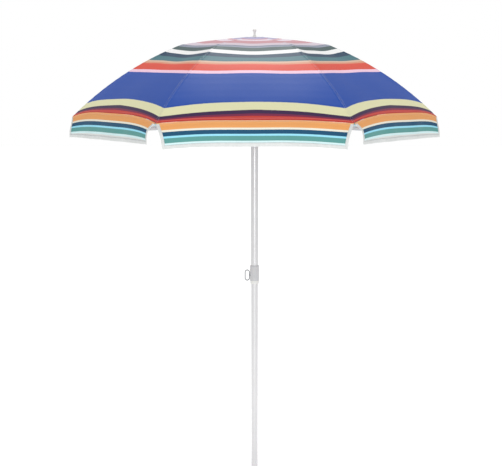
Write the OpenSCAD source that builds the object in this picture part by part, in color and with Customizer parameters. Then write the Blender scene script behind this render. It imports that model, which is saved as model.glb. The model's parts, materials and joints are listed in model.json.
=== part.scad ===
// Beach umbrella with six gores, six hanging flaps, a sliding runner and a two-piece pole.
// Origin at the point of the ground spike, +Z up, one rib along +X.

/* [Canopy] */
// Distance from the pole's axis to a rib tip, with the canopy open
rim_r = 840; // [700:5:1010]
// Height of the rib tips above the spike's point
rim_h = 1750; // [1460:5:2100]
// Rise of the fabric from the rib tips to the crown
crown_rise = 370; // [345:1:445]
// Distance from the pole's axis to a strut joint
kink_r = 340; // [280:1:410]
// Rise of the fabric from the rib tips to a strut joint
kink_rise = 330; // [300:1:360]
// Height of the outer rib's bow above a straight line
rib_bow = 31; // [20:1:38]
// Thickness of the canopy fabric
fabric_t = 0.8; // [0.6:0.1:1.2]
// Gap between two gores at their seam
seam_gap = 0.8; // [0.6:0.1:1.2]
// Height of a hanging flap
flap_h = 105; // [87:1:130]
// How far a flap swings out before it hangs straight
flap_flare = 16; // [10:1:22]
// How far each side edge of a flap slants in
flap_slit = 28; // [20:1:34]

/* [Ribs and struts] */
// Number of arc steps in a gore's and a flap's outline
outline_steps = 12; // [8:1:20]
// Thickness of the rib wire
rib_d = 4.4; // [3.6:0.1:5.2]
// Thickness of the strut rod
strut_d = 4.4; // [3.6:0.1:5.2]
// Radius of the eyes on ribs and struts
eye_r = 3.2; // [2.8:0.1:3.8]
// Radius of the rivets and ring wires
pin_r = 1; // [0.8:0.05:1.2]
// Radial play of an eye on its rivet or ring wire
pin_play = 0.09; // [0.06:0.01:0.1]
// Drop from an open rib to its strut rivet
strut_offset = 8; // [7.5:0.1:9.6]
// Drop from a strut joint to the open runner's ring wire
strut_drop = 221; // [180:1:265]
// Thickness of a bracket's cheek
cheek_t = 1.2; // [1:0.1:1.6]
// Distance from a strut joint back to its clamp rivet
clamp_back = 13; // [11:0.5:16]
// Radius of a rib's tip cap
tip_r = 3; // [2.8:0.1:3.6]
// Length of rib wire inside a tip cap
tip_grip = 12; // [10:0.5:16]

/* [Poles] */
// Outer diameter of the upper pole
upper_od = 35; // [34.5:0.5:38]
// Outer diameter of the lower pole
lower_od = 32; // [28:0.5:32.5]
// Wall of both pole tubes
tube_wall = 0.8; // [0.6:0.1:0.9]
// Height of the upper pole's lower end
joint_h = 1000; // [830:5:1110]
// Length of lower pole inside the upper pole
pole_overlap = 135; // [110:5:165]
// Radial play of a sliding fit on a tube
slide_play = 0.05; // [0.03:0.01:0.09]

/* [Collar and clamp screw] */
// Outer radius of the collar
collar_r = 21; // [20.5:0.1:24]
// Height of the collar above the upper pole's lower end
collar_h = 62; // [51:1:76]
// Depth of the collar below the upper pole's lower end
collar_skirt = 10; // [8:0.5:13]
// Height of the bush's lip below the collar
lip_h = 14; // [11:0.5:17]
// Height of the clamp screw above the upper pole's lower end
screw_h = 16; // [13:1:20]
// Radius of the clamp screw's shank
screw_r = 3; // [2.5:0.1:3.6]
// Width of the ring head, out from the collar
ring_w = 24; // [20:0.5:29]
// Height of the ring head
ring_h = 52; // [44:1:62]
// Width of the ring head's bar
ring_bar = 4.5; // [3.8:0.1:5.4]
// Thickness of the ring head
ring_t = 5; // [4:0.1:6]

/* [Crown and runner] */
// Radius of the two ring wires
ring_wire_r = 25; // [24:0.5:28]
// Radius of the crown hub and the runner's flange
hub_r = 29; // [28:0.5:33]
// Width of a slot for a rib or a strut
slot_w = 5.4; // [5.2:0.1:6.2]
// Thickness of the crown hub's disc
hub_t = 9; // [8:0.5:11]
// Length of the crown hub's sleeve
hub_sleeve = 34; // [28:1:40]
// Distance from the axis to a gore's fold line at the crown
patch_r = 30; // [29:0.5:36]
// Height of the runner's flange
runner_flange = 12; // [10:0.5:15]
// Length of the runner's sleeve below the ring wire
runner_sleeve = 46; // [38:1:55]
// Radius of the finial's ball
finial_r = 8; // [6.5:0.1:9.5]
// Height of the finial
finial_h = 35; // [29:0.5:42]
// Radius of the cap under the finial
cap_r = 15; // [13:0.5:18]

/* [Spring catch] */
// Width of the catch
catch_w = 4.8; // [4:0.1:5.6]
// Height of the catch
catch_h = 22; // [18:0.5:26]
// How far the catch stands out of the upper pole
catch_out = 2.5; // [2:0.1:2.8]
// Depth of the catch inside the upper pole's outer surface
catch_in = 5; // [4:0.1:6]

/* [Ground spike] */
// Height of the spike's point
point_h = 38; // [31:1:46]
// Length of the spike's shank
shank_h = 66; // [55:1:80]
// Radius of the spike's shank
shank_r = 17.5; // [17:0.1:20]
// Length of the spigot inside the lower pole
spigot_h = 60; // [50:1:72]

/* [Hidden] */
$fn = 48;
ribs = 6;
half = 180 / ribs;           // half the angle of a gore
far = 4000;                  // longer than anything it cuts
soft_gap = 0.3;              // air between fabric and a piece of another body
slack = 0.4;                 // air between an eye and the wall of its slot
joint_gap = 0.03;            // parting line between riveted pieces

// the fabric's underside along a rib: straight to the strut joint, then an arc to the tip
kink = [kink_r, kink_rise];
rim = [rim_r, 0];
chord = norm(rim - kink);
arc_r = (chord * chord / 4 + rib_bow * rib_bow) / (2 * rib_bow);
chord_up = [kink_rise, rim_r - kink_r] / chord;
arc_c = (kink + rim) / 2 - chord_up * (arc_r - rib_bow);
kink_a = atan2(kink[1] - arc_c[1], kink[0] - arc_c[0]);
rim_a = atan2(rim[1] - arc_c[1], rim[0] - arc_c[0]);
rim_slope = 90 - rim_a;
inner_fall = (crown_rise - kink_rise) / kink_r;
inner_slope = atan(inner_fall);
function arc_point(a) = arc_c + arc_r * [cos(a), sin(a)];
function straight_rise(r) = crown_rise - inner_fall * r;

// ribs hang below the fabric's ridge, so that wire and tip cap both clear the two gores
gore_slope = atan(tan(rim_slope) / cos(half));
rib_drop = (tip_r + soft_gap) / cos(gore_slope);
crown_pin = [ring_wire_r, straight_rise(ring_wire_r) - rib_drop];
flex_pin = kink - [0, rib_drop];
strut_pin = flex_pin - strut_offset * [sin(inner_slope), cos(inner_slope)];
runner_pin = [ring_wire_r, flex_pin[1] - strut_drop];
tip_a = rim_a + (tip_grip / 2 + tip_r) / arc_r * 180 / PI;
tip_end = arc_point(tip_a) - [0, rib_drop];
cheek_gap = rib_d + 2 * soft_gap;
rivet_head = 0.5;
cheek_waist = 0.4;
eye_w = rib_d - 0.6;         // eyes are pressed flat, a little narrower than the wire

// gores are flat from seam to seam, so their outline in mid-gore is the rib's, drawn in
mid = cos(half);
gore_w = rim_r * sin(half);
patch_rise = straight_rise(patch_r / mid);

// pole and hardware
upper_r = upper_od / 2;
upper_bore = upper_r - tube_wall;
lower_r = lower_od / 2;
lower_bore = lower_r - tube_wall;
pole_foot = point_h + shank_h;
pole_top = joint_h + pole_overlap;
hub_top = rim_h + patch_rise;
hub_under = rim_h + crown_pin[1] - hub_t / 2;
sleeve_r = ring_wire_r - eye_r - slack;
stud_r = 3.9;
crown_pin_r = 2;
runner_z = rim_h + runner_pin[1];
runner_foot = runner_z - runner_sleeve;
catch_z = runner_foot - soft_gap - catch_h;
screw_z = joint_h + screw_h;
nut_r = screw_r + 2;
nut_inset = 0.6;
collar_round = 6;            // height of the collar's tapered top
bush_above = 20;             // bush above the clamp screw
cap_h = 3;
plug_h = 26;                 // top bush inside the lower pole
land_h = 14;                 // top bush above the lower pole
plug_wall = 2.5;
shoulder_h = 2;              // clamp screw's shoulder outside the collar
spring_t = 0.9;
spring_drop = 30;

FAMILIES = ["rib_inner", "rib_outer", "rib_tip", "strut", "gore_top", "gore_side", "valance"];

// ---- shared shapes ----

// turns a shape drawn for rib 1 to rib i, and one drawn for gore 1 to gore i
module at_rib(i) rotate([0, 0, (i - 1) * 2 * half]) translate([0, 0, rim_h]) children();
module at_gore(i) rotate([0, 0, (2 * i - 1) * half]) translate([0, 0, rim_h]) children();

// a flat outline in X and Z, given its thickness along Y
module slab(t) rotate([90, 0, 0]) linear_extrude(t, center = true) children();

// a round bar across the rib's plane
module cross_bar(p, r, l) translate([p[0], 0, p[1]]) rotate([90, 0, 0]) cylinder(h = l, r = r, center = true);

// a straight wire between two points of the rib's plane
module wire(p, q, d) {
    fall = atan2(p[1] - q[1], q[0] - p[0]);
    translate([p[0], 0, p[1]]) rotate([0, 90 + fall, 0]) cylinder(h = norm(q - p), d = d);
}

// a bar along a line of points, with one round at each point that stands proud of the bar by waist
module link(points, r, waist = 0) {
    for (p = points) translate(p) circle(r);
    for (k = [1:len(points) - 1]) let (p = points[k - 1], q = points[k])
        translate(p) rotate(atan2(q[1] - p[1], q[0] - p[0]))
            translate([0, waist - r]) square([norm(q - p), 2 * (r - waist)]);
}

module tube(r_out, r_in, h) {
    difference() {
        cylinder(h = h, r = r_out);
        translate([0, 0, -1]) cylinder(h = h + 2, r = r_in);
    }
}

module ring_wire(z) translate([0, 0, z]) rotate_extrude() translate([ring_wire_r, 0]) circle(pin_r);

// six open slots, and the groove that the ring wire lies in
module slots_and_groove(z, low, high) {
    for (i = [1:ribs]) rotate([0, 0, (i - 1) * 2 * half])
        translate([sleeve_r, -slot_w / 2, low - 1]) cube([hub_r, slot_w, high - low + 2]);
    translate([0, 0, z]) difference() {
        translate([0, 0, -pin_r]) cylinder(h = high - z + pin_r + 1, r = ring_wire_r + pin_r);
        translate([0, 0, -pin_r - 1]) cylinder(h = high - z + pin_r + 3, r = ring_wire_r - pin_r);
    }
}

module screw_hole(r, l) {
    translate([-l, 0, screw_z]) rotate([0, 90, 0]) cylinder(h = l - lower_bore / 2, r = r);
}

module cross_hole(r) translate([0, 0, hub_under - hub_sleeve / 2]) rotate([90, 0, 0])
    cylinder(h = far, r = r, center = true);

// ---- ribs and struts ----

// the outer rib's bent wire, from just outside its eye to the tip
module rib_arc() {
    from_eye = eye_r * 0.8 / arc_r * 180 / PI;
    translate([arc_c[0], 0, arc_c[1] - rib_drop]) rotate([90, 0, 0]) rotate([0, 0, tip_a])
        rotate_extrude(angle = kink_a - from_eye - tip_a) translate([arc_r, 0]) circle(d = rib_d);
}

// a shank through both cheeks, with a flat head outside each
module rivet(p) {
    out = cheek_gap / 2 + cheek_t + joint_gap;
    cross_bar(p, pin_r, 2 * out);
    for (side = [-1, 1]) translate([0, side * (out + rivet_head / 2), 0])
        cross_bar(p, pin_r * 1.7, rivet_head);
}

module rib_inner(i) color("lightgray") at_rib(i) {
    along = [cos(inner_slope), -sin(inner_slope)];
    clamp = flex_pin - clamp_back * along;
    difference() {
        union() {
            wire(crown_pin + eye_r * 0.6 * along, clamp, rib_d);
            cross_bar(crown_pin, eye_r, eye_w);
            cross_bar(clamp, eye_r, cheek_gap - 2 * joint_gap);
        }
        cross_bar(crown_pin, pin_r + pin_play, far);
        cross_bar(clamp, pin_r + joint_gap, far);
    }
    for (side = [-1, 1]) translate([0, side * (cheek_gap + cheek_t) / 2, 0]) difference() {
        slab(cheek_t) link([clamp, flex_pin, strut_pin], eye_r, cheek_waist);
        for (p = [clamp, flex_pin, strut_pin]) cross_bar(p, pin_r + joint_gap, far);
    }
    for (p = [clamp, flex_pin, strut_pin]) rivet(p);
}

module rib_outer(i) color("lightgray") at_rib(i) difference() {
    union() {
        rib_arc();
        cross_bar(flex_pin, eye_r, eye_w);
    }
    cross_bar(flex_pin, pin_r + pin_play, far);
}

module rib_tip(i) color("whitesmoke") at_rib(i) difference() {
    translate([tip_end[0], 0, tip_end[1]]) rotate([0, 180 - tip_a, 0]) {
        translate([0, 0, -tip_grip]) cylinder(h = tip_grip + 1, r = tip_r);
        translate([0, 0, 1]) sphere(tip_r);
    }
    rib_arc();
}

module strut(i) color("silver") at_rib(i) {
    along = (strut_pin - runner_pin) / norm(strut_pin - runner_pin);
    difference() {
        union() {
            wire(runner_pin + eye_r * 0.6 * along, strut_pin - eye_r * 0.6 * along, strut_d);
            cross_bar(runner_pin, eye_r, eye_w);
            cross_bar(strut_pin, eye_r, eye_w);
        }
        cross_bar(runner_pin, pin_r + pin_play, far);
        cross_bar(strut_pin, pin_r + pin_play, far);
    }
}

// ---- fabric ----

// a strip of fabric whose underside is the outline, cut to the gore's wedge
module fabric_panel(outline) intersection() {
    slab(2 * gore_w) polygon(concat(outline, [for (k = [len(outline) - 1:-1:0]) outline[k] + [0, fabric_t]]));
    translate([seam_gap / 2 / sin(half), 0, -rim_h])
        linear_extrude(2 * rim_h) polygon([[0, 0], [far, far * tan(half)], [far, -far * tan(half)]]);
}

module gore_top(i) color("lightsteelblue") at_gore(i) {
    x_in = patch_r + soft_gap / 2;
    x_out = kink_r * mid - soft_gap / 2;
    fabric_panel([for (x = [x_in, x_out]) [x, straight_rise(x / mid)]]);
}

module gore_side(i) color("royalblue") at_gore(i) {
    gap_a = soft_gap / arc_r * 180 / PI;
    fabric_panel([for (k = [0:outline_steps])
        let (p = arc_point(kink_a - gap_a + (rim_a - kink_a + 2 * gap_a) * k / outline_steps))
        [p[0] * mid, p[1]]]);
}

// the flap carries on down the gore's slope, then curves to hang straight
flap_x = rim_r * mid + soft_gap;
flap_bend = flap_flare / (1 - sin(gore_slope));
function flap_point(slope, r) = [flap_x - flap_bend * sin(gore_slope) + r * sin(slope),
                                 -flap_bend * cos(gore_slope) + r * cos(slope)];

module valance(i) color("sandybrown") at_gore(i) {
    slopes = [for (k = [0:outline_steps]) gore_slope + (90 - gore_slope) * k / outline_steps];
    outer = [for (a = slopes) flap_point(a, flap_bend + fabric_t)];
    inner = [for (k = [outline_steps:-1:0]) flap_point(slopes[k], flap_bend)];
    foot = flap_x + flap_flare;
    intersection() {
        slab(2 * gore_w) polygon(concat(outer, [[foot + fabric_t, -flap_h], [foot, -flap_h]], inner));
        rotate([90, 0, 90]) linear_extrude(2 * rim_r)
            polygon([[-gore_w + seam_gap, 2], [-gore_w + flap_slit, -flap_h - 1],
                     [gore_w - flap_slit, -flap_h - 1], [gore_w - seam_gap, 2]]);
    }
}

module crown_patch() color("lightsteelblue") translate([0, 0, hub_top]) difference() {
    cylinder(h = fabric_t, r = (patch_r - soft_gap / 2) / mid, $fn = ribs);
    translate([0, 0, -1]) cylinder(h = fabric_t + 2, r = stud_r);
}

// ---- crown ----

module crown_hub() color("gainsboro") difference() {
    union() {
        translate([0, 0, hub_under]) cylinder(h = hub_top - hub_under, r = hub_r);
        translate([0, 0, hub_under - hub_sleeve]) cylinder(h = hub_sleeve + 1, r = sleeve_r);
    }
    translate([0, 0, hub_under - hub_sleeve - 1]) cylinder(h = hub_sleeve + 1, r = upper_r);
    translate([0, 0, hub_under - 1]) cylinder(h = 2 * hub_t, r = stud_r);
    slots_and_groove(rim_h + crown_pin[1], hub_under, hub_top);
    cross_hole(crown_pin_r);
}

module crown_ring_wire() color("silver") ring_wire(rim_h + crown_pin[1]);

module crown_cross_pin() color("silver") translate([0, 0, hub_under - hub_sleeve / 2]) rotate([90, 0, 0])
    cylinder(h = 2 * sleeve_r, r = crown_pin_r, center = true);

module crown_cap() color("whitesmoke") translate([0, 0, hub_top + fabric_t]) difference() {
    rotate_extrude()
        polygon([[0, 0], [cap_r, 0], [cap_r - 0.5, cap_h * 0.4], [cap_r / 2, cap_h], [0, cap_h]]);
    translate([0, 0, -1]) cylinder(h = cap_h + 2, r = stud_r);
}

module finial() color("darkgray") translate([0, 0, hub_top + fabric_t + cap_h]) {
    neck = finial_r * 0.6;
    ball_z = finial_h - finial_r;
    rotate_extrude() union() {
        square([neck, ball_z]);
        polygon([[0, 0], [finial_r, 0], [finial_r, cap_h], [neck, 2 * cap_h], [0, 2 * cap_h]]);
        intersection() {
            translate([0, ball_z]) circle(finial_r);
            translate([0, ball_z - finial_r]) square([finial_r, 2 * finial_r]);
        }
    }
    drop = hub_top + fabric_t + cap_h - hub_under;
    translate([0, 0, -drop]) cylinder(h = drop, r = stud_r);
}

// ---- upper pole ----

module upper_pole() color("gainsboro") difference() {
    translate([0, 0, joint_h]) tube(upper_r, upper_bore, hub_under - joint_h);
    cross_hole(crown_pin_r);
    screw_hole(nut_r, collar_r + 1);
    translate([-catch_w / 2 - slack / 2, -upper_r - 1, catch_z - slack])
        cube([catch_w + slack, upper_r, catch_h + slack + 1]);
}

module pole_collar() color("silver") difference() {
    top = joint_h + collar_h;
    union() {
        translate([0, 0, joint_h - collar_skirt])
            cylinder(h = collar_h + collar_skirt - collar_round, r = collar_r);
        translate([0, 0, top - collar_round])
            cylinder(h = collar_round, r1 = collar_r, r2 = collar_r - collar_round / 4, $fn = 96);
    }
    translate([0, 0, joint_h]) cylinder(h = collar_h + 1, r = upper_r);
    translate([0, 0, joint_h - collar_skirt - 1]) cylinder(h = collar_skirt + 2, r = upper_bore);
    screw_hole(nut_r, collar_r + 1);
}

module clamp_nut() color("darkgoldenrod") difference() {
    translate([-collar_r + nut_inset, 0, screw_z]) rotate([0, 90, 0])
        cylinder(h = collar_r - nut_inset - upper_bore, r = nut_r);
    screw_hole(screw_r + slide_play, collar_r + 1);
    cylinder(h = 2 * screw_z, r = upper_bore);
}

module collar_bush() color("whitesmoke") translate([0, 0, joint_h - collar_skirt]) difference() {
    union() {
        translate([0, 0, -lip_h]) cylinder(h = lip_h, r = collar_r - 1);
        cylinder(h = collar_skirt + screw_h + bush_above, r = upper_bore);
    }
    translate([0, 0, -lip_h - 1]) cylinder(h = far, r = lower_r + slide_play);
    translate([0, 0, collar_skirt - joint_h]) screw_hole(nut_r, collar_r + 1);
}

// the ring head is a bar bent to an oval, on a shoulder and a threaded shank
module clamp_screw() color("silver") translate([0, 0, screw_z]) {
    head_x = -collar_r - 1;
    tip_x = -lower_r - soft_gap;
    translate([head_x, 0, 0]) rotate([0, 90, 0]) cylinder(h = tip_x - head_x, r = screw_r);
    translate([head_x - shoulder_h, 0, 0]) rotate([0, 90, 0]) cylinder(h = shoulder_h, r = nut_r);
    reach = (ring_h - ring_w) / 2;
    slab(ring_t) translate([head_x - ring_w / 2, 0]) difference() {
        link([[0, -reach], [0, reach]], ring_w / 2);
        link([[0, -reach], [0, reach]], ring_w / 2 - ring_bar);
    }
}

// ---- lower pole ----

module lower_pole() color("gainsboro")
    translate([0, 0, pole_foot]) tube(lower_r, lower_bore, pole_top - pole_foot);

module pole_top_bush() color("whitesmoke") translate([0, 0, pole_top]) difference() {
    union() {
        cylinder(h = land_h, r = upper_bore - slide_play);
        translate([0, 0, -plug_h]) cylinder(h = plug_h + 1, r = lower_bore);
    }
    translate([0, 0, -plug_h - 1]) cylinder(h = far, r = lower_bore - plug_wall);
}

module ground_spike() color("dimgray") union() {
    cylinder(h = point_h, r1 = 2, r2 = shank_r, $fn = 96);
    translate([0, 0, point_h]) cylinder(h = shank_h, r = shank_r);
    translate([0, 0, pole_foot]) cylinder(h = spigot_h, r = lower_bore);
}

// ---- runner and catch ----

module runner() color("whitesmoke") difference() {
    union() {
        translate([0, 0, runner_foot]) cylinder(h = runner_sleeve, r = sleeve_r);
        translate([0, 0, runner_z - runner_flange / 2]) cylinder(h = runner_flange, r = hub_r);
    }
    translate([0, 0, runner_foot - 1]) cylinder(h = far, r = upper_r + slide_play);
    slots_and_groove(runner_z, runner_z - runner_flange / 2, runner_z + runner_flange / 2);
    keyway = upper_r + catch_out + soft_gap;
    translate([-catch_w / 2 - slack, -keyway, runner_foot - 1]) cube([catch_w + 2 * slack, keyway, far]);
}

module runner_ring_wire() color("silver") ring_wire(runner_z);

// a nose with a sloping lower edge, so that the rising runner presses it in
module catch_button() color("silver") rotate([0, 0, -90]) translate([0, 0, catch_z]) slab(catch_w)
    polygon([[upper_r - catch_in, 1], [upper_r - 1, 1], [upper_r + catch_out, catch_h * 0.55],
             [upper_r + catch_out, catch_h], [upper_r - catch_in, catch_h]]);

// a leaf bent to a V, between the catch and the far wall of the pole
module catch_spring() color("gray") rotate([0, 0, -90]) translate([0, 0, catch_z]) slab(catch_w - 1)
    let (near = upper_r - catch_in, wall = -upper_bore + 1, fold = (near + wall) / 2, t = spring_t)
    polygon([[near, catch_h * 0.8], [near, catch_h * 0.4], [fold + t, -spring_drop],
             [fold - t, -spring_drop], [wall, catch_h * 0.4], [wall, catch_h * 0.8],
             [wall + t, catch_h * 0.8], [fold, 4 * t - spring_drop], [near - t, catch_h * 0.8]]);

lower_pole();
ground_spike();
pole_top_bush();
upper_pole();
pole_collar();
collar_bush();
clamp_nut();
clamp_screw();
crown_hub();
crown_ring_wire();
crown_cross_pin();
crown_patch();
crown_cap();
finial();
runner();
runner_ring_wire();
catch_button();
catch_spring();
rib_inner(1);  // rib_inner_1
rib_inner(2);  // rib_inner_2
rib_inner(3);  // rib_inner_3
rib_inner(4);  // rib_inner_4
rib_inner(5);  // rib_inner_5
rib_inner(6);  // rib_inner_6
rib_outer(1);  // rib_outer_1
rib_outer(2);  // rib_outer_2
rib_outer(3);  // rib_outer_3
rib_outer(4);  // rib_outer_4
rib_outer(5);  // rib_outer_5
rib_outer(6);  // rib_outer_6
rib_tip(1);  // rib_tip_1
rib_tip(2);  // rib_tip_2
rib_tip(3);  // rib_tip_3
rib_tip(4);  // rib_tip_4
rib_tip(5);  // rib_tip_5
rib_tip(6);  // rib_tip_6
strut(1);  // strut_1
strut(2);  // strut_2
strut(3);  // strut_3
strut(4);  // strut_4
strut(5);  // strut_5
strut(6);  // strut_6
gore_top(1);  // gore_top_1
gore_top(2);  // gore_top_2
gore_top(3);  // gore_top_3
gore_top(4);  // gore_top_4
gore_top(5);  // gore_top_5
gore_top(6);  // gore_top_6
gore_side(1);  // gore_side_1
gore_side(2);  // gore_side_2
gore_side(3);  // gore_side_3
gore_side(4);  // gore_side_4
gore_side(5);  // gore_side_5
gore_side(6);  // gore_side_6
valance(1);  // valance_1
valance(2);  // valance_2
valance(3);  // valance_3
valance(4);  // valance_4
valance(5);  // valance_5
valance(6);  // valance_6
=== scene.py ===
import json
import math

import bpy
import numpy as np
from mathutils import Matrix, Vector


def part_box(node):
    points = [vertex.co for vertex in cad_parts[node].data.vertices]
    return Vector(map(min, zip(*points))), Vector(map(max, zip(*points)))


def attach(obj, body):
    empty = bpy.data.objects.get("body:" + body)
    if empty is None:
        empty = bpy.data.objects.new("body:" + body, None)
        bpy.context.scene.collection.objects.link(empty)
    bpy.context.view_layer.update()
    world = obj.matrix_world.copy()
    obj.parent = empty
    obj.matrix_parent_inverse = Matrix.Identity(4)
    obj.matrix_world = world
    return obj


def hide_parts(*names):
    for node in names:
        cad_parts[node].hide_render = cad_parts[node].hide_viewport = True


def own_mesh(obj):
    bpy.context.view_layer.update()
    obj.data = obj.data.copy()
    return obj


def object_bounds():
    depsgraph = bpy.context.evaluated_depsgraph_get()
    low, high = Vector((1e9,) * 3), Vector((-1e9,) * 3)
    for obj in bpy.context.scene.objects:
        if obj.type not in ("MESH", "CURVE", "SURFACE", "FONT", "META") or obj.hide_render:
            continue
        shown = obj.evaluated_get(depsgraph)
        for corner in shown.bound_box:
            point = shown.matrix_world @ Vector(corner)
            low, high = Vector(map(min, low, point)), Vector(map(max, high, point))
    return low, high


print("loading the frame")
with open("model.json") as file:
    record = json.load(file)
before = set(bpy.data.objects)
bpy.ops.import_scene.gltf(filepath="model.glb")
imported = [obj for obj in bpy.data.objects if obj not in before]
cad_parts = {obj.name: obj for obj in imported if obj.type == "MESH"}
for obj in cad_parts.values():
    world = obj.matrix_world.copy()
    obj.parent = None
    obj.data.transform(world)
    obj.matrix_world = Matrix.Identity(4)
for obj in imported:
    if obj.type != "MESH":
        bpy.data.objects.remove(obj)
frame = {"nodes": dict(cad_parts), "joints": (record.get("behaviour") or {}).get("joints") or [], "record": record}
cadLow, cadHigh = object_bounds()
gores = range(1, 7)
frontGore = 5
halfAngle = math.pi / 6  # from the middle of a gore to its rib
jointAt = {j["name"]: j["pos_m"] for j in frame["joints"] if "pos_m" in j}
foldApothem, foldZ = jointAt["gore_fold_2"][1:]
kinkApothem, kinkZ = jointAt["gore_bend_2"][1:]
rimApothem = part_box("gore_side_2")[1].y
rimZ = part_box("gore_side_2")[0].z
ribReach, kinkReach, patchReach = np.array([rimApothem, kinkApothem, foldApothem]) / math.cos(halfAngle)


def cadOutline(node):
    # a gore's underside, as heights by distance from the axis: each distance's lowest corner
    co = np.zeros(len(frame["nodes"][node].data.vertices) * 3)
    frame["nodes"][node].data.vertices.foreach_get("co", co)
    co = co.reshape(-1, 3)
    y, which = np.unique(np.round(co[:, 1], 5), return_inverse=True)
    z = np.full(len(y), np.inf)
    np.minimum.at(z, which.ravel(), co[:, 2])
    return y, z


sideY, sideZ = cadOutline("gore_side_2")
sideY, sideZ = np.append(kinkApothem, sideY[1:]), np.append(kinkZ, sideZ[1:])
rimSlope = math.atan2(sideZ[-2] - sideZ[-1], sideY[-1] - sideY[-2])


# how the cloth lies over the ribs
canopyShape = dict(
    thickness=0.0008,
    seamGap=0.0003,
    crownSwell=0.003,  # the cloth stands up at the seams over the straight inner ribs
    seamShare=1.4,
    swellPeak=1.25,
    kinkSag=0.012,  # and dips in mid-gore just outside the place where the ribs bend
    sagAt=0.49,
    sagWidth=0.095,
    riseFrom=0.7,  # outside this share of the way the rim starts to arch
    risePower=1.7,
    rimRise={gore: 0.029 for gore in gores} | {frontGore: 0.014},
    riseReach={gore: 0.30 for gore in gores} | {frontGore: 0.20},
    riseSpread={gore: 3.5 for gore in gores} | {frontGore: 2.2},
    seamFold=0.0074,  # width of the turned edge beside a seam
    seamLift=0.0009,
    foldStep=0.0012,
    rimFold=0.0078,
    pucker=0.0003,
    puckerPitch=0.031,
    puckerReach=0.03,
    ripple=0.0016,
)


def smooth(x, low, high):
    # from 0 at low to 1 at high, level at both ends
    s = np.clip((x - low) / (high - low), 0, 1)
    return s * s * (3 - 2 * s)


def roofHeight(apothem):
    # height of the untouched CAD gore: a straight line to the kink, then the rib's arc
    inner = foldZ + (apothem - foldApothem) * (kinkZ - foldZ) / (kinkApothem - foldApothem)
    return np.where(apothem < kinkApothem, inner, np.interp(apothem, sideY, sideZ))


def roofLift(gore, reach, across):
    # swell over the inner ribs, sag beside the kink, and a rim that arches between two rib tips
    shape, share = canopyShape, reach / ribReach
    toKink = np.clip((reach - patchReach) / (kinkReach - patchReach), 0, 1)
    seam = shape["seamShare"] * across ** 2 - (shape["seamShare"] - 1)
    swell = shape["crownSwell"] * np.sin(np.pi * toKink ** shape["swellPeak"]) * seam
    fromSag = (share - shape["sagAt"]) / shape["sagWidth"]
    sag = -shape["kinkSag"] * np.exp(-(fromSag ** 2)) * (1 - across ** 2)
    grow = np.clip((share - shape["riseFrom"]) / shape["riseReach"][gore], 0, 1) ** shape["risePower"]
    rise = shape["rimRise"][gore] * grow * (1 - np.abs(across) ** shape["riseSpread"][gore])
    soft = shape["ripple"] * np.sin(across * 5.2 + gore) * np.sin(share * 11 + 2 * gore)
    return swell + sag + rise + soft * (1 - across ** 4) * smooth(share, 0.1, 0.4)


def placed(gore, x, y, z):
    # turns points drawn for a gore facing +X to its own azimuth
    turn = (2 * gore - 1) * halfAngle
    x, y, z = np.broadcast_arrays(x, y, z)
    return np.stack([x * math.cos(turn) - y * math.sin(turn), x * math.sin(turn) + y * math.cos(turn), z], -1)


def roofPoints(gore, reach, y):
    # the cloth's underside at a distance along the rib and a distance across from mid-gore
    shape = canopyShape
    half = reach * math.sin(halfAngle)
    across = np.clip(y / half, -1, 1)
    edge = half - np.abs(y)
    step, inward = shape["foldStep"], -edge
    fold = smooth(inward, -shape["seamFold"], -shape["seamFold"] + step) - 1.4 * smooth(inward, -step, 0)
    fold = fold + smooth(reach, ribReach - shape["rimFold"] - step, ribReach - shape["rimFold"])
    fold = shape["seamLift"] * fold
    wave = np.sin(2 * np.pi * reach / shape["puckerPitch"] + gore)
    pucker = shape["pucker"] * np.exp(-edge / shape["puckerReach"]) * wave
    apothem = reach * math.cos(halfAngle)
    return placed(gore, apothem, y, roofHeight(apothem) + roofLift(gore, reach, across) + fold + pucker)


def edgeSpaced(half, inner=30):
    # distances across a gore, close together at the turned edges and even between them
    near = np.array([0.0, 0.0006, 0.0012, 0.0036, 0.0062, 0.0074, 0.014, 0.024])
    steps = np.linspace(-1, 1, inner)
    half = np.asarray(half).reshape(-1, 1)
    near = np.minimum(near, np.linspace(0, 0.45, len(near)) * half)
    mid = (half - near[:, -1:]) * steps[1:-1]
    return np.concatenate([-half + near, mid, (half - near)[:, ::-1]], 1)


def gridObject(name, points, maps, closed=False):
    # one quad for each cell of a grid of points; maps are UV maps worked out at the same points
    rows, columns = points.shape[:2]
    index = np.arange(rows * columns).reshape(rows, columns)
    if closed:
        index = np.concatenate([index, index[:, :1]], 1)
    quads = np.stack([index[:-1, :-1], index[1:, :-1], index[1:, 1:], index[:-1, 1:]], -1).reshape(-1, 4)
    return meshObject(name, points.reshape(-1, 3), quads, {k: v.reshape(-1, 2) for k, v in maps.items()})


def meshObject(name, points, faces, maps=None):
    mesh = bpy.data.meshes.new(name)
    mesh.from_pydata(points.tolist(), [], faces.tolist() if hasattr(faces, "tolist") else faces)
    mesh.polygons.foreach_set("use_smooth", np.ones(len(mesh.polygons), bool))
    corners = np.zeros(len(mesh.loops), np.int32)
    mesh.loops.foreach_get("vertex_index", corners)
    for key, uv in (maps or {}).items():
        mesh.uv_layers.new(name=key).uv.foreach_set("vector", uv[corners].astype(np.float32).ravel())
    made = bpy.data.objects.new(name, mesh)
    bpy.context.scene.collection.objects.link(made)
    return made


def thicken(piece, thickness, offset=1.0):
    wall = piece.modifiers.new("thickness", "SOLIDIFY")
    wall.thickness, wall.offset, wall.use_even_offset = thickness, offset, True


def finishCloth(piece, body, material):
    # gives a cloth piece its material, hangs it on its body and gives it a mesh of its own
    piece.data.materials.append(material)
    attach(piece, body)
    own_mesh(piece)


stitching = dict(pitch=0.0075, share=0.66, width=0.00075, height=0.0005, sides=6)


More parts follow.
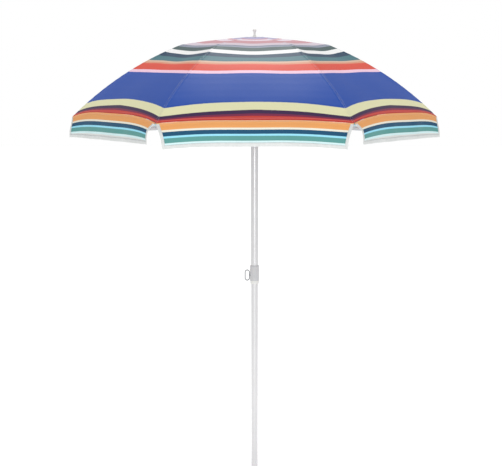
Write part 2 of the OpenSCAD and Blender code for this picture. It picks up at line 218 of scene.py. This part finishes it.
def stitchRow(name, path, normals, pitch=None):
    # a small round-ended thread at even steps along a path, laid flat on the cloth
    look = stitching
    pitch = pitch or look["pitch"]
    along = np.concatenate([[0], np.cumsum(np.linalg.norm(np.diff(path, axis=0), axis=1))])
    at = np.arange(pitch / 2, along[-1] - pitch / 3, pitch)
    spot, ahead = [np.stack([np.interp(at + d, along, path[:, k]) for k in range(3)], 1) for d in (0, 0.0004)]
    up = np.stack([np.interp(at, along, normals[:, k]) for k in range(3)], 1)
    forward = ahead - spot
    forward /= np.linalg.norm(forward, axis=1, keepdims=True)
    up /= np.linalg.norm(up, axis=1, keepdims=True)
    side = np.cross(up, forward)
    ring = np.linspace(0, 2 * np.pi, look["sides"], endpoint=False)
    length = np.array([-0.5, -0.36, 0.36, 0.5]) * pitch * look["share"]
    size = np.array([0.35, 1, 1, 0.35])
    x = np.repeat(length, look["sides"])
    y = (size[:, None] * np.cos(ring)).ravel() * look["width"] / 2
    z = (size[:, None] * np.sin(ring)).ravel() * look["height"] / 2
    points = spot[:, None] + forward[:, None] * x[:, None] + side[:, None] * y[:, None]
    points = points + up[:, None] * z[:, None]
    n, total = look["sides"], 4 * look["sides"]
    k = np.arange(3)[:, None] * n + np.arange(n)
    after = np.arange(3)[:, None] * n + (np.arange(n) + 1) % n
    quads = np.stack([k, k + n, after + n, after], -1).reshape(-1, 4)[:, ::-1]
    ends = [list(range(n)), list(range(total - n, total))[::-1]]
    start = np.arange(len(at)) * total
    faces = (quads + start[:, None, None]).reshape(-1, 4).tolist()
    faces += [[int(s) + v for v in cap[::-1]] for s in start for cap in ends]
    return meshObject(name, points.reshape(-1, 3), faces)


def linear(code):
    # a display colour code as linear light
    c = np.array([int(code[k:k + 2], 16) for k in (1, 3, 5)]) / 255
    return (*np.where(c < 0.04045, c / 12.92, ((c + 0.055) / 1.055) ** 2.4), 1.0)


def newMaterial(name, **look):
    material = bpy.data.materials.new(name)
    material.use_nodes = True
    shader = material.node_tree.nodes["Principled BSDF"]
    for socket, value in look.items():
        shader.inputs[socket.replace("_", " ")].default_value = value
    return material, material.node_tree, shader


def node(tree, kind, inputs=None, **settings):
    made = tree.nodes.new("ShaderNode" + kind)
    for key, value in settings.items():
        setattr(made, key, value)
    for key, value in (inputs or {}).items():
        if isinstance(value, bpy.types.NodeSocket):
            tree.links.new(value, made.inputs[key])
        else:
            made.inputs[key].default_value = value
    return made


def math2(tree, operation, a, b):
    return node(tree, "Math", {0: a, 1: b}, operation=operation).outputs[0]


def remap(tree, value, low, high):
    return node(tree, "MapRange", {"Value": value, "To Min": low, "To Max": high}).outputs[0]


def shade(tree, colour, amount):
    # multiplies a colour by a grey amount
    grey = node(tree, "CombineColor", {"Red": amount, "Green": amount, "Blue": amount}).outputs[0]
    mix = node(tree, "Mix", {0: 1.0, 6: colour, 7: grey}, data_type="RGBA", blend_type="MULTIPLY")
    return mix.outputs[2]


def noise(tree, vector, scale, detail=3.0):
    return node(tree, "TexNoise", {"Vector": vector, "Scale": scale, "Detail": detail}).outputs["Fac"]


clothLook = dict(threadPitch=0.0009, weaveDepth=0.00025, fade=0.07, mottle=0.05)


def weave(tree, shader, colour, vector):
    # warp and weft cross as two sine waves, and the colour fades a little from place to place; where the weave
    # sits low its colour is darkened too, painted shade in the dips between threads
    look = clothLook
    waves = []
    for direction in "XY":
        inputs = {"Vector": vector, "Scale": 0.314 / look["threadPitch"], "Distortion": 0.6}
        inputs |= {"Detail": 1.0, "Detail Scale": 0.4}
        wave = node(tree, "TexWave", inputs, bands_direction=direction)
        waves.append(math2(tree, "SUBTRACT", wave.outputs["Fac"], 0.5))
    cross = math2(tree, "MULTIPLY", *waves)
    slub = noise(tree, vector, 240.0, 2.0)
    height = math2(tree, "ADD", cross, math2(tree, "MULTIPLY", slub, 0.25))
    fade = remap(tree, noise(tree, vector, 3.2), 1 - look["fade"], 1 + look["fade"])
    grain = remap(tree, slub, 1 - look["mottle"], 1 + look["mottle"])
    # painted shade: the colour is darker where the weave's crossing pattern, the same one as the bump height, is
    # low
    weaveDipShade = remap(tree, math2(tree, "ADD", cross, 0.25), 0.9, 1.06)
    colour = shade(tree, shade(tree, shade(tree, colour, fade), grain), weaveDipShade)
    tree.links.new(colour, shader.inputs["Base Color"])
    tree.links.new(remap(tree, slub, 0.36, 0.5), shader.inputs["Roughness"])
    bump = node(tree, "Bump", {"Height": height, "Strength": 0.5, "Distance": look["weaveDepth"]})
    tree.links.new(bump.outputs[0], shader.inputs["Normal"])


def stripedCloth(name, stripes, **look):
    # printed stripes run across the gore, each from its own share of the way out
    material, tree, shader = newMaterial(name, **look)
    place = node(tree, "UVMap", uv_map="stripes").outputs[0]
    share = node(tree, "SeparateXYZ", {0: place}).outputs[0]
    edge = noise(tree, node(tree, "UVMap", uv_map="cloth").outputs[0], 90.0)
    share = math2(tree, "ADD", share, remap(tree, edge, -0.0012, 0.0012))
    ramp = node(tree, "ValToRGB", {"Fac": share})
    band = ramp.color_ramp
    band.interpolation = "CONSTANT"
    for start, code in stripes[1:-1]:
        band.elements.new(start)
    band.elements[-1].position = stripes[-1][0]
    for element, (start, code) in zip(band.elements, stripes):
        element.position, element.color = start, linear(code)
    weave(tree, shader, ramp.outputs[0], node(tree, "UVMap", uv_map="cloth").outputs[0])
    return material


# where each printed stripe starts, as a share of the way out or down, and its colour
roofStripes = [
    (0.0, "#a9a6c6"), (0.126, "#c47f8c"), (0.15, "#dccfda"), (0.21, "#c18d96"),
    (0.32, "#cbbdc8"), (0.385, "#8f95a6"), (0.415, "#4c5f60"), (0.451, "#eeeeee"),
    (0.486, "#22405a"), (0.525, "#44727c"), (0.575, "#d8b49c"), (0.59, "#d89478"),
    (0.607, "#dc4f3c"), (0.667, "#f2cbe0"), (0.690, "#254fa8"), (0.901, "#e3e1b6"),
    (0.945, "#40284e"), (0.962, "#7e2c4c"), (0.976, "#c64038"),
]
flapStripes = [
    (0.0, "#efa867"), (0.272, "#efeddd"), (0.346, "#1a4f70"), (0.508, "#98dff4"),
    (0.587, "#5c9a96"), (0.775, "#d4f0f2"), (0.86, "#dcdfdd"),
]
# the printed stripes dip towards the rib tips
stripeBow = dict(share=[0.72, 0.9, 0.945, 0.976, 1.0], shift=[0.0, 0.014, 0.026, 0.02, 0.0])
stripeBowPower = 1.2
clothFinish = dict(Sheen_Weight=0.015, Sheen_Roughness=0.5, Specular_IOR_Level=0.13)
roofCloth = stripedCloth("stripedRoofCloth", roofStripes, **clothFinish)
flapCloth = stripedCloth("stripedFlapCloth", flapStripes, **clothFinish)


def plainCloth(name, code):
    # bleached here and there towards a paler grey
    material, tree, shader = newMaterial(name, **clothFinish)
    place = node(tree, "UVMap", uv_map="cloth").outputs[0]
    inputs = {0: noise(tree, place, 60.0), 6: linear(code), 7: linear("#e4e6e5")}
    weave(tree, shader, node(tree, "Mix", inputs, data_type="RGBA").outputs[2], place)
    return material


bindingTape = plainCloth("whiteBindingTape", "#d0d4d2")
crownCloth = plainCloth("crownPatchCloth", "#b4b2c8")


def threadMaterial(name, code):
    material, tree, shader = newMaterial(name, Roughness=0.6, Sheen_Weight=0.2)
    place = node(tree, "TexCoord").outputs["Object"]
    ply = noise(tree, place, 1400.0, 2.0)
    tree.links.new(shade(tree, linear(code), remap(tree, ply, 0.82, 1.08)), shader.inputs["Base Color"])
    bump = node(tree, "Bump", {"Height": ply, "Strength": 0.6, "Distance": 0.0001})
    tree.links.new(bump.outputs[0], shader.inputs["Normal"])
    return material


paleThread = threadMaterial("paleThread", "#b9bfcc")


def hardMaterial(name, code, grain, streak, roughness, depth, **look):
    # mottled colour, uneven gloss and a fine surface, drawn out along Z where streak is above 1
    material, tree, shader = newMaterial(name, **look)
    place = node(tree, "TexCoord").outputs["Object"]
    drawn = node(tree, "Mapping", {"Vector": place, "Scale": (1, 1, 1 / streak)}).outputs[0]
    fine = noise(tree, drawn, grain, 4.0)
    broad = noise(tree, place, 9.0)
    colour = shade(tree, linear(code), remap(tree, broad, 0.94, 1.05))
    colour = shade(tree, colour, remap(tree, fine, 0.95, 1.04))
    tree.links.new(colour, shader.inputs["Base Color"])
    gloss = remap(tree, fine, roughness - 0.06, roughness + 0.06)
    gloss = math2(tree, "ADD", gloss, remap(tree, broad, -0.04, 0.04))
    tree.links.new(gloss, shader.inputs["Roughness"])
    bump = node(tree, "Bump", {"Height": fine, "Strength": 0.35, "Distance": depth})
    tree.links.new(bump.outputs[0], shader.inputs["Normal"])
    return material


hardFinishes = {
    "pole_steel": hardMaterial(
        "satinPoleSteel", "#cfcfd0", 900.0, 60.0, 0.3, 0.0001, Metallic=0.85, Coat_Weight=0.1,
    ),
    "spike_plastic": hardMaterial("darkSpikePlastic", "#55585a", 500.0, 1.0, 0.5, 0.00015),
    "bush_plastic": hardMaterial("whiteBushPlastic", "#dcdcd8", 600.0, 1.0, 0.42, 0.0001),
    "collar_plastic": hardMaterial("greyCollarPlastic", "#bfc0c1", 600.0, 1.0, 0.4, 0.0001),
    "brass": hardMaterial("turnedBrass", "#d9b36a", 700.0, 1.0, 0.3, 0.0001, Metallic=1.0),
    "screw_steel": hardMaterial("platedScrewSteel", "#7b7d80", 700.0, 1.0, 0.34, 0.0001, Metallic=0.8),
    "wire_steel": hardMaterial("drawnWire", "#c2c4c6", 900.0, 1.0, 0.32, 0.0001, Metallic=0.9),
    "rib_paint": hardMaterial(
        "paintedRibWire", "#d8d9d8", 500.0, 1.0, 0.38, 0.0001, Metallic=0.1, Coat_Weight=0.2,
    ),
    "tip_plastic": hardMaterial("whiteTipPlastic", "#efefec", 600.0, 1.0, 0.4, 0.0001),
    "finial_plastic": hardMaterial("greyFinialPlastic", "#e4e3df", 600.0, 1.0, 0.42, 0.0001),
}
slotOf = {part["node"]: part["material_slot"] for part in frame["record"]["subparts"]}
for name, cadNode in frame["nodes"].items():
    if slotOf[name] in hardFinishes:
        for socket in cadNode.material_slots:
            socket.material = hardFinishes[slotOf[name]]


roofPanel = dict(topRows=26, sideRows=72, stitchInset=0.0042, stitchStand=0.0001)


def roofPanelPiece(gore, name, reaches, body, cadNode):
    gap = canopyShape["seamGap"]
    y = edgeSpaced(reaches * math.sin(halfAngle) - gap)
    reach = reaches[:, None]
    points = roofPoints(gore, reach, y)
    across = y / (reach * math.sin(halfAngle))
    share = reach / ribReach
    share = share - np.interp(share, *stripeBow.values()) * np.abs(across) ** stripeBowPower
    maps = {"cloth": np.stack([y, np.broadcast_to(reach, y.shape)], -1), "stripes": np.stack([share, y], -1)}
    panel = gridObject(name, points, maps)
    thicken(panel, canopyShape["thickness"])
    finishCloth(panel, body, roofCloth)
    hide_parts(cadNode)
    for side, label in ((-1, "right"), (1, "left")):
        inset = reaches * math.sin(halfAngle) - np.minimum(roofPanel["stitchInset"], reaches * 0.1)
        near = roofPoints(gore, reach, side * np.stack([inset, inset - 0.001], 1))
        up = np.cross(near[:, 0] - near[:, 1], np.gradient(near[:, 0], axis=0)) * -side
        up /= np.linalg.norm(up, axis=1, keepdims=True)
        onCloth = near[:, 0] + up * (canopyShape["thickness"] + roofPanel["stitchStand"])
        row = stitchRow(name + "_stitches_" + label, onCloth, up)
        finishCloth(row, body, paleThread)


print("sewing the roof")
for gore in gores:
    reaches = np.linspace(patchReach + 0.0002, kinkReach - 0.0002, roofPanel["topRows"])
    roofPanelPiece(gore, "roof_top_%d" % gore, reaches, "top_%d" % gore, "gore_top_%d" % gore)
    hem = ribReach - np.array([0.009, 0.0084, 0.0078, 0.005, 0.0001])
    reaches = np.append(np.linspace(kinkReach + 0.0002, ribReach - 0.012, roofPanel["sideRows"]), hem)
    body, cadNode = "side_%d" % gore, "gore_side_%d" % gore
    roofPanelPiece(gore, "roof_side_%d" % gore, reaches, body, cadNode)


flapShape = dict(
    height={gore: 0.090 for gore in gores} | {frontGore: 0.109},  # at the rib tips
    follow={gore: 1.0 for gore in gores} | {frontGore: 0.0},  # how much a flap makes up the rim's arch
    flare=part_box("valance_2")[1].y - rimApothem - canopyShape["thickness"],
    printHeight=0.109,  # the printed stripes keep to this height below the rim
    slit={gore: 0.032 for gore in gores} | {frontGore: 0.027},
    slitOpens={gore: 0.45 for gore in gores} | {frontGore: 1.0},  # how far down the slit has its full width
    edgeFlare=0.012,  # the free side edges stand out from the rest
    flareSpan=(0.02, 0.8),
    cornerSqueeze=0.25,
    ripple=0.0030,
    waves=3.5,
    fineWaves=6.3,
    rippleGrowth=1.4,
    edgeCalm=0.6,
    clothPerHeight=1.08,  # length along the curved cloth for each unit of height
    cutPerHeight=1.09,
    sideBinding=0.013,
    footBinding=0.016,
    columns=90,
    rows=30,
)
bendRadius = flapShape["flare"] / (1 - math.sin(rimSlope))
rimHalf = ribReach * math.sin(halfAngle) - 0.0008


def flapTall(gore):
    return flapShape["height"][gore] + 0.8 * flapShape["follow"][gore] * canopyShape["rimRise"][gore]


def flapPoints(gore, across, down, out=0.0):
    # carries on down the roof's slope, turns along an arc to hang straight, and waves gently
    shape = flapShape
    lift = roofLift(gore, np.full_like(across, ribReach), across)
    depth = down * (shape["height"][gore] + shape["follow"][gore] * lift)
    turn = np.arccos(np.clip(math.cos(rimSlope) - depth / bendRadius, 0, 1))
    swing = bendRadius * (np.sin(turn) - math.sin(rimSlope))
    wave = np.sin(np.pi * shape["waves"] * across + 1.7 * gore)
    wave = wave + 0.5 * np.sin(np.pi * shape["fineWaves"] * across + gore)
    wave = shape["ripple"] * wave * np.clip(down, 0, 1.2) ** shape["rippleGrowth"]
    wave = wave * (1 - shape["edgeCalm"] * across ** 6)
    wave = wave + shape["edgeFlare"] * np.abs(across) ** 5 * smooth(down, *shape["flareSpan"])
    opened = np.clip(down / shape["slitOpens"][gore], 0, 1)
    y = across * (rimHalf - shape["slit"][gore] * np.sin(opened * np.pi / 2))
    lap = canopyShape["seamLift"] * (1 - smooth(depth, 0.0078, 0.009))
    return placed(gore, rimApothem + 0.0003 + swing + wave + lap + out, y, rimZ + lift - depth)


def borderPath(gore, inset, steps=60):
    # down one side, along the bottom and up the other, inset by a share of the binding's width
    side = inset * flapShape["sideBinding"] / rimHalf
    foot = inset * flapShape["footBinding"] / flapTall(gore)
    part = np.concatenate([np.linspace(0, 1, 14)[:-1], np.linspace(1, 2, steps)[:-1], np.linspace(2, 3, 14)])
    across = np.interp(part, [1, 2], [-1 + side, 1 - side])
    down = np.interp(part, [0, 1, 2, 3], [0.03, 1 - foot, 1 - foot, 0.03])
    return across, down


def bindingPiece(gore, name, body):
    # tape folded round the edge: up the inside, round the fold, and over the outside
    turn = np.concatenate([np.linspace(-1, -0.08, 8), np.linspace(-0.05, 0.05, 5), np.linspace(0.08, 1, 8)])
    inset = np.abs(turn)
    stand = np.clip(turn / 0.06, -1, 1) * 0.0008 + canopyShape["thickness"] / 2
    edges = [borderPath(gore, d) for d in inset]
    across = np.stack([e[0] for e in edges], 1)
    down = np.stack([e[1] for e in edges], 1)
    points = flapPoints(gore, across, down, stand[None, :])
    length = np.concatenate([[0], np.cumsum(np.linalg.norm(np.diff(points[:, 0], axis=0), axis=1))])
    width = turn[None, :] * flapShape["footBinding"]
    maps = {"cloth": np.stack(np.broadcast_arrays(length[:, None], width), -1)}
    tape = gridObject(name, points, maps)
    thicken(tape, 0.0005)
    finishCloth(tape, body, bindingTape)
    return tape


print("hanging the flaps")
for gore in gores:
    body, name = "flap_%d" % gore, "flap_cloth_%d" % gore
    rows, columns = flapShape["rows"], flapShape["columns"]
    across = np.broadcast_to(np.linspace(-1, 1, columns), (rows, columns))
    downs = np.concatenate([np.array([0, 0.045, 0.071, 0.077, 0.082]), np.linspace(0.12, 1, rows - 5)])
    down = np.broadcast_to(downs[:, None], across.shape)
    y, depth = across * rimHalf, down * flapTall(gore)
    follow = flapShape["follow"][gore]
    hang = flapShape["height"][gore] + follow * roofLift(gore, np.full_like(across, ribReach), across)
    share = down * hang / flapShape["printHeight"] * (1 + flapShape["cornerSqueeze"] * follow * across ** 4)
    maps = {"cloth": np.stack([y, depth], -1), "stripes": np.stack([share, across], -1)}
    flap = gridObject(name, flapPoints(gore, across, down), maps)
    thicken(flap, canopyShape["thickness"])
    finishCloth(flap, body, flapCloth)
    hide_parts("valance_%d" % gore)
    tape = bindingPiece(gore, "flap_binding_%d" % gore, body)
    seams = []
    for label, (path, fall) in {
        "binding": borderPath(gore, 0.84),
        "rim": (np.linspace(-0.995, 0.995, 160), np.full(160, 0.045)),
    }.items():
        lift = canopyShape["thickness"] + (0.0012 if label == "binding" else 0.0001)
        near = np.stack([flapPoints(gore, path, fall, lift), flapPoints(gore, path, fall, lift + 0.001)])
        seams.append(stitchRow("flap_stitches_%s_%d" % (label, gore), near[0], near[1] - near[0]))
        finishCloth(seams[-1], body, paleThread)


crownPatch = dict(reach=0.038, rings=14, segments=72, stitchRing=0.034)


def crownPatchPiece():
    # a round patch, level in the middle and falling with the roof outside
    look = crownPatch
    reach = np.linspace(0.0045, look["reach"], look["rings"])[:, None]
    angle = np.linspace(0, 2 * np.pi, look["segments"], endpoint=False)[None, :]
    wedge = (angle + halfAngle) % (2 * halfAngle) - halfAngle  # angle from the nearest rib
    apothem = reach * np.cos(halfAngle - np.abs(wedge))
    z = np.minimum(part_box("crown_patch")[0].z, roofHeight(apothem) + canopyShape["thickness"] + 0.0002)
    points = np.stack([reach * np.cos(angle), reach * np.sin(angle), z + 0 * angle], -1)
    patch = gridObject("crown_patch_cloth", points, {"cloth": points[..., :2]}, closed=True)
    thicken(patch, canopyShape["thickness"])
    patch.data.materials.append(crownCloth)
    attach(patch, "upper_pole")
    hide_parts("crown_patch")
    loop = np.linspace(0, 2 * np.pi, 121)
    z = np.interp(look["stitchRing"], reach[:, 0], points[:, 0, 2]) + canopyShape["thickness"] + 0.0001
    x, y = look["stitchRing"] * np.cos(loop), look["stitchRing"] * np.sin(loop)
    path = np.stack([x, y, np.full_like(loop, z)], 1)
    row = stitchRow("crown_patch_stitches", path, np.tile([0.0, 0.0, 1.0], (len(loop), 1)), pitch=0.006)
    row.data.materials.append(paleThread)
    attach(row, "upper_pole")


print("fitting the crown")
crownPatchPiece()


studio = dict(floorCode="#fbfbfb", worldLight=0.58, floorGlow=0.62)
camera = dict(lens=136.25, sensor=36.0, side=-0.0166, away=8.774, aboveRim=0.3302, tilt=5.65)
lamps = {  # place, aim height, size, power, colour
    "overheadSoftbox": ((0.0, 1.2, 4.9), 1.9, 1.9, 84.0, (1.0, 1.0, 0.99)),
    "frontSoftbox": ((0.3, -5.6, 2.4), 1.5, 2.8, 70.0, (1.0, 1.0, 1.0)),
}


def setStudio():
    size = 30.0
    corners = np.array([[-size, -size, 0], [size, -size, 0], [size, size, 0], [-size, size, 0]])
    corners[:, 2] = cadLow.z - 0.0005
    floor = meshObject("studioFloor", corners, [[0, 1, 2, 3]])
    material, tree, shader = newMaterial("paleFloor", Roughness=0.9, Emission_Strength=studio["floorGlow"])
    shader.inputs["Base Color"].default_value = linear(studio["floorCode"])
    shader.inputs["Emission Color"].default_value = (1, 1, 1, 1)
    floor.data.materials.append(material)
    world = bpy.data.worlds.new("studioWorld")
    bpy.context.scene.world = world
    world.use_nodes = True
    tree = world.node_tree
    light = tree.nodes["Background"]
    light.inputs["Strength"].default_value = studio["worldLight"]
    light.inputs["Color"].default_value = (1, 1, 1, 1)
    seen = tree.nodes.new("ShaderNodeBackground")
    mix, path = tree.nodes.new("ShaderNodeMixShader"), tree.nodes.new("ShaderNodeLightPath")
    tree.links.new(path.outputs["Is Camera Ray"], mix.inputs[0])
    tree.links.new(light.outputs[0], mix.inputs[1])
    tree.links.new(seen.outputs[0], mix.inputs[2])
    seen.inputs["Color"].default_value = (1, 1, 1, 1)
    tree.links.new(mix.outputs[0], tree.nodes["World Output"].inputs["Surface"])
    for name, (place, aim, spread, power, colour) in lamps.items():
        lamp = bpy.data.lights.new(name, "AREA")
        lamp.size, lamp.energy, lamp.color = spread, power, colour
        made = bpy.data.objects.new(name, lamp)
        bpy.context.scene.collection.objects.link(made)
        made.location = place
        toward = np.array([0, 0, aim]) - np.array(place)
        made.rotation_euler = Vector(toward).to_track_quat("-Z", "Y").to_euler()
    lens = bpy.data.cameras.new("camera")
    lens.lens, lens.sensor_width = camera["lens"], camera["sensor"]
    eye = bpy.data.objects.new("camera", lens)
    eye.location = (camera["side"], -camera["away"], rimZ + camera["aboveRim"])
    eye.rotation_euler = (math.radians(90 - camera["tilt"]), 0, 0)
    bpy.context.scene.collection.objects.link(eye)
    bpy.context.scene.camera = eye
    bpy.context.scene.view_settings.view_transform = "Standard"


print("lighting the studio")
setStudio()
